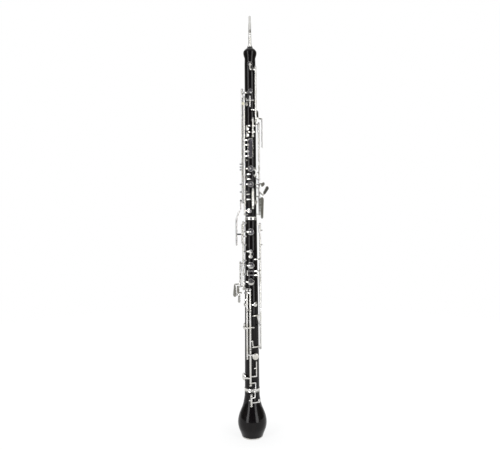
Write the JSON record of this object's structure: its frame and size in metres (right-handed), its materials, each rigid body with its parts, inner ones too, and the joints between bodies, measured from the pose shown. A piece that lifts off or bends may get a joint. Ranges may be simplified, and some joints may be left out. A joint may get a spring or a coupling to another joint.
{
  "type": "english horn",
  "caption": "Double-reed alto woodwind in two wooden joints with a pear-shaped bell, a bent metal crook and sprung silver keys over padded tone holes.",
  "frame": {"origin": "the bore axis at the plane of the bell's rim", "axes": "+Z along the bore towards the crook, the finger keys face -Y, and +X is the player's left"},
  "size_m": [0.0751, 0.0636, 0.8795],
  "materials": {
    "wood": "gloss",
    "silver": "polished",
    "steel": "satin",
    "blued": "satin",
    "cork": "matte",
    "skin": "satin"
  },
  "bodies": {
    "bell": {"bell_body": "wood", "bell_rim_ring": "silver", "bell_socket_ring": "silver", "bell_posts": "silver", "bell_rod": "steel"},
    "lower_joint": {"lower_joint_body": "wood", "lower_socket_ring": "silver", "lower_tenon_cork": "cork", "lower_posts": "silver", "lower_rods": "steel", "lower_springs": "blued", "thumb_rest": "silver", "thumb_rest_screws": "steel"},
    "upper_joint": {"upper_joint_body": "wood", "upper_tenon_cork": "cork", "upper_posts": "silver", "upper_rods": "steel", "upper_springs": "blued", "crook_ferrule": "silver"},
    "crook": {"crook_tube": "silver"},
    "strap_ring": {"strap_ring": "silver"},
    "bell_key": {"bell_key": "silver", "bell_pad": "skin"},
    "side_trill_lever": {"side_trill_lever": "silver"},
    "fourth_finger_key": {"fourth_finger_key": "silver"},
    "resonance_key": {"resonance_key": "silver"},
    "fifth_finger_key": {"fifth_finger_key": "silver"},
    "sixth_finger_key": {"sixth_finger_key": "silver"},
    "yoke_lever": {"yoke_lever": "silver"},
    "low_b_link": {"low_b_link": "silver"},
    "low_c_touch": {"low_c_touch": "silver"},
    "e_flat_key": {"e_flat_key": "silver", "e_flat_pad": "skin"},
    "f_resonance_key": {"f_resonance_key": "silver"},
    "low_c_sharp_key": {"low_c_sharp_key": "silver", "low_c_sharp_pad": "skin"},
    "low_c_key": {"low_c_key": "silver", "low_c_pad": "skin"},
    "low_b_key": {"low_b_key": "silver", "low_b_pad": "skin"},
    "second_octave_key": {"second_octave_key": "silver"},
    "thumb_octave_key": {"thumb_octave_key": "silver"},
    "upper_trill_key": {"upper_trill_key": "silver"},
    "lower_trill_key": {"lower_trill_key": "silver", "lower_trill_pad": "skin"},
    "front_vent_key": {"front_vent_key": "silver"},
    "back_vent_key": {"back_vent_key": "silver"},
    "half_hole_key": {"half_hole_key": "silver"},
    "second_finger_key": {"second_finger_key": "silver"},
    "third_finger_key": {"third_finger_key": "silver"},
    "side_vent_key": {"side_vent_key": "silver"},
    "g_sharp_key": {"g_sharp_key": "silver", "g_sharp_pad": "skin"},
    "g_sharp_lever": {"g_sharp_lever": "silver"},
    "low_b_lever": {"low_b_lever": "silver"},
    "e_flat_lever": {"e_flat_lever": "silver"},
    "bridge_vent_key": {"bridge_vent_key": "silver", "bridge_vent_pad": "skin"},
    "octave_see_saw": {"octave_see_saw": "silver"}
  },
  "joints": [
    {"name": "lower_joint_pull", "type": "slide", "parent": "bell", "child": "lower_joint", "axis": [0, 0, 1], "range_m": [0, 0.018]},
    {"name": "upper_joint_pull", "type": "slide", "parent": "lower_joint", "child": "upper_joint", "axis": [0, 0, 1], "range_m": [0, 0.02]},
    {"name": "crook_pull", "type": "slide", "parent": "upper_joint", "child": "crook", "axis": [0, 0, 1], "range_m": [0, 0.012]},
    {"name": "bell_key_hinge", "type": "hinge", "parent": "bell", "child": "bell_key", "pos_m": [-0.00163, -0.02334, 0.085], "axis": [0, 0, 1], "range_deg": [0, 7], "stiffness_Nm_per_rad": 0.02, "springref_deg": -12},
    {"name": "side_trill_lever_hinge", "type": "hinge", "parent": "lower_joint", "child": "side_trill_lever", "pos_m": [-0.01855, 0.00603, 0.42], "axis": [0, 0, 1], "range_deg": [0, 6], "stiffness_Nm_per_rad": 0.02, "springref_deg": -12},
    {"name": "fourth_finger_key_hinge", "type": "hinge", "parent": "lower_joint", "child": "fourth_finger_key", "pos_m": [-0.01633, -0.00869, 0.425], "axis": [0, 0, 1], "range_deg": [0, 7], "stiffness_Nm_per_rad": 0.02, "springref_deg": -12},
    {"name": "resonance_key_hinge", "type": "hinge", "parent": "lower_joint", "child": "resonance_key", "pos_m": [-0.01633, -0.00869, 0.384], "axis": [0, 0, 1], "range_deg": [0, 7], "stiffness_Nm_per_rad": 0.02, "springref_deg": -12},
    {"name": "fifth_finger_key_hinge", "type": "hinge", "parent": "lower_joint", "child": "fifth_finger_key", "pos_m": [-0.01633, -0.00869, 0.356], "axis": [0, 0, 1], "range_deg": [0, 7], "stiffness_Nm_per_rad": 0.02, "springref_deg": -12},
    {"name": "sixth_finger_key_hinge", "type": "hinge", "parent": "lower_joint", "child": "sixth_finger_key", "pos_m": [-0.01633, -0.00869, 0.322], "axis": [0, 0, 1], "range_deg": [0, 7], "stiffness_Nm_per_rad": 0.02, "springref_deg": -12},
    {"name": "yoke_lever_hinge", "type": "hinge", "parent": "lower_joint", "child": "yoke_lever", "pos_m": [0.01836, -0.00526, 0.385], "axis": [0, 0, 1], "range_deg": [-3, 0], "stiffness_Nm_per_rad": 0.02, "springref_deg": 12},
    {"name": "low_b_link_hinge", "type": "hinge", "parent": "lower_joint", "child": "low_b_link", "pos_m": [0.01836, -0.00526, 0.255], "axis": [0, 0, 1], "range_deg": [-3, 0], "stiffness_Nm_per_rad": 0.02, "springref_deg": 12},
    {"name": "low_c_touch_hinge", "type": "hinge", "parent": "lower_joint", "child": "low_c_touch", "pos_m": [-0.02294, -0.0016, 0.34], "axis": [0, 0, 1], "range_deg": [-6, 0], "stiffness_Nm_per_rad": 0.02, "springref_deg": 12},
    {"name": "e_flat_key_hinge", "type": "hinge", "parent": "lower_joint", "child": "e_flat_key", "pos_m": [-0.00308, -0.01946, 0.28], "axis": [0, 0, 1], "range_deg": [-8, 0], "stiffness_Nm_per_rad": 0.02, "springref_deg": 12},
    {"name": "f_resonance_key_hinge", "type": "hinge", "parent": "lower_joint", "child": "f_resonance_key", "pos_m": [-0.00925, -0.01739, 0.28], "axis": [0, 0, 1], "range_deg": [0, 8], "stiffness_Nm_per_rad": 0.02, "springref_deg": -12},
    {"name": "low_c_sharp_key_hinge", "type": "hinge", "parent": "lower_joint", "child": "low_c_sharp_key", "pos_m": [-0.00308, -0.01946, 0.225], "axis": [0, 0, 1], "range_deg": [0, 8], "stiffness_Nm_per_rad": 0.02, "springref_deg": -12},
    {"name": "low_c_key_hinge", "type": "hinge", "parent": "lower_joint", "child": "low_c_key", "pos_m": [-0.00925, -0.01739, 0.215], "axis": [0, 0, 1], "range_deg": [0, 7], "stiffness_Nm_per_rad": 0.02, "springref_deg": -12},
    {"name": "low_b_key_hinge", "type": "hinge", "parent": "lower_joint", "child": "low_b_key", "pos_m": [-0.00308, -0.01946, 0.145], "axis": [0, 0, 1], "range_deg": [-7, 0], "stiffness_Nm_per_rad": 0.02, "springref_deg": 12},
    {"name": "second_octave_key_hinge", "type": "hinge", "parent": "upper_joint", "child": "second_octave_key", "pos_m": [0.01112, -0.01325, 0.7], "axis": [0, 0, 1], "range_deg": [0, 8], "stiffness_Nm_per_rad": 0.02, "springref_deg": -12},
    {"name": "thumb_octave_key_hinge", "type": "hinge", "parent": "upper_joint", "child": "thumb_octave_key", "pos_m": [0.0036, 0.01692, 0.68], "axis": [0, 0, 1], "range_deg": [-8, 0], "stiffness_Nm_per_rad": 0.02, "springref_deg": 12},
    {"name": "upper_trill_key_hinge", "type": "hinge", "parent": "upper_joint", "child": "upper_trill_key", "pos_m": [-0.01721, -0.00493, 0.6], "axis": [0, 0, 1], "range_deg": [-8, 0], "stiffness_Nm_per_rad": 0.02, "springref_deg": 12},
    {"name": "lower_trill_key_hinge", "type": "hinge", "parent": "upper_joint", "child": "lower_trill_key", "pos_m": [-0.01286, -0.01158, 0.67], "axis": [0, 0, 1], "range_deg": [-8, 0], "stiffness_Nm_per_rad": 0.02, "springref_deg": 12},
    {"name": "front_vent_key_hinge", "type": "hinge", "parent": "upper_joint", "child": "front_vent_key", "pos_m": [0.00498, -0.01531, 0.645], "axis": [0, 0, 1], "range_deg": [0, 7], "stiffness_Nm_per_rad": 0.02, "springref_deg": -12},
    {"name": "back_vent_key_hinge", "type": "hinge", "parent": "upper_joint", "child": "back_vent_key", "pos_m": [0.00498, -0.01531, 0.63], "axis": [0, 0, 1], "range_deg": [0, 7], "stiffness_Nm_per_rad": 0.02, "springref_deg": -12},
    {"name": "half_hole_key_hinge", "type": "hinge", "parent": "upper_joint", "child": "half_hole_key", "pos_m": [-0.01286, -0.01158, 0.605], "axis": [0, 0, 1], "range_deg": [0, 7], "stiffness_Nm_per_rad": 0.02, "springref_deg": -12},
    {"name": "second_finger_key_hinge", "type": "hinge", "parent": "upper_joint", "child": "second_finger_key", "pos_m": [-0.01286, -0.01158, 0.555], "axis": [0, 0, 1], "range_deg": [0, 7], "stiffness_Nm_per_rad": 0.02, "springref_deg": -12},
    {"name": "third_finger_key_hinge", "type": "hinge", "parent": "upper_joint", "child": "third_finger_key", "pos_m": [-0.01286, -0.01158, 0.523], "axis": [0, 0, 1], "range_deg": [0, 7], "stiffness_Nm_per_rad": 0.02, "springref_deg": -12},
    {"name": "side_vent_key_hinge", "type": "hinge", "parent": "upper_joint", "child": "side_vent_key", "pos_m": [0.01729, -0.00463, 0.59], "axis": [0, 0, 1], "range_deg": [0, 8], "stiffness_Nm_per_rad": 0.02, "springref_deg": -12},
    {"name": "g_sharp_key_hinge", "type": "hinge", "parent": "upper_joint", "child": "g_sharp_key", "pos_m": [0.00409, -0.0164, 0.495], "axis": [0, 0, 1], "range_deg": [-8, 0], "stiffness_Nm_per_rad": 0.02, "springref_deg": 12},
    {"name": "g_sharp_lever_hinge", "type": "hinge", "parent": "upper_joint", "child": "g_sharp_lever", "pos_m": [0.01729, -0.00463, 0.525], "axis": [0, 0, 1], "range_deg": [0, 6], "stiffness_Nm_per_rad": 0.02, "springref_deg": -12},
    {"name": "low_b_lever_hinge", "type": "hinge", "parent": "upper_joint", "child": "low_b_lever", "pos_m": [0.01729, -0.00463, 0.507], "axis": [0, 0, 1], "range_deg": [0, 6], "stiffness_Nm_per_rad": 0.02, "springref_deg": -12},
    {"name": "e_flat_lever_hinge", "type": "hinge", "parent": "upper_joint", "child": "e_flat_lever", "pos_m": [0.01729, -0.00463, 0.48], "axis": [0, 0, 1], "range_deg": [-6, 0], "stiffness_Nm_per_rad": 0.02, "springref_deg": 12},
    {"name": "bridge_vent_key_hinge", "type": "hinge", "parent": "upper_joint", "child": "bridge_vent_key", "pos_m": [-0.01286, -0.01158, 0.47], "axis": [0, 0, 1], "range_deg": [-8, 0], "stiffness_Nm_per_rad": 0.02, "springref_deg": 12},
    {"name": "octave_see_saw_hinge", "type": "hinge", "parent": "upper_joint", "child": "octave_see_saw", "pos_m": [-0.0006, -0.0149, 0.695], "axis": [1, 0, 0], "range_deg": [-3, 3], "stiffness_Nm_per_rad": 0.01},
    {"name": "strap_ring_swing", "type": "hinge", "parent": "lower_joint", "child": "strap_ring", "pos_m": [0, 0.01705, 0.3883], "axis": [1, 0, 0], "range_deg": [0, 60]}
  ],
  "couplings": [
    {"joint": "low_b_link_hinge", "follows": "low_b_lever_hinge", "ratio": -0.5},
    {"joint": "low_b_key_hinge", "follows": "low_b_lever_hinge", "ratio": -1.1666},
    {"joint": "bell_key_hinge", "follows": "low_b_lever_hinge", "ratio": 1.1666},
    {"joint": "g_sharp_key_hinge", "follows": "g_sharp_lever_hinge", "ratio": -1.3333},
    {"joint": "e_flat_key_hinge", "follows": "e_flat_lever_hinge", "ratio": 1.3333},
    {"joint": "low_c_key_hinge", "follows": "low_c_touch_hinge", "ratio": -1.1666},
    {"joint": "upper_trill_key_hinge", "follows": "side_trill_lever_hinge", "ratio": -1.3333}
  ]
}
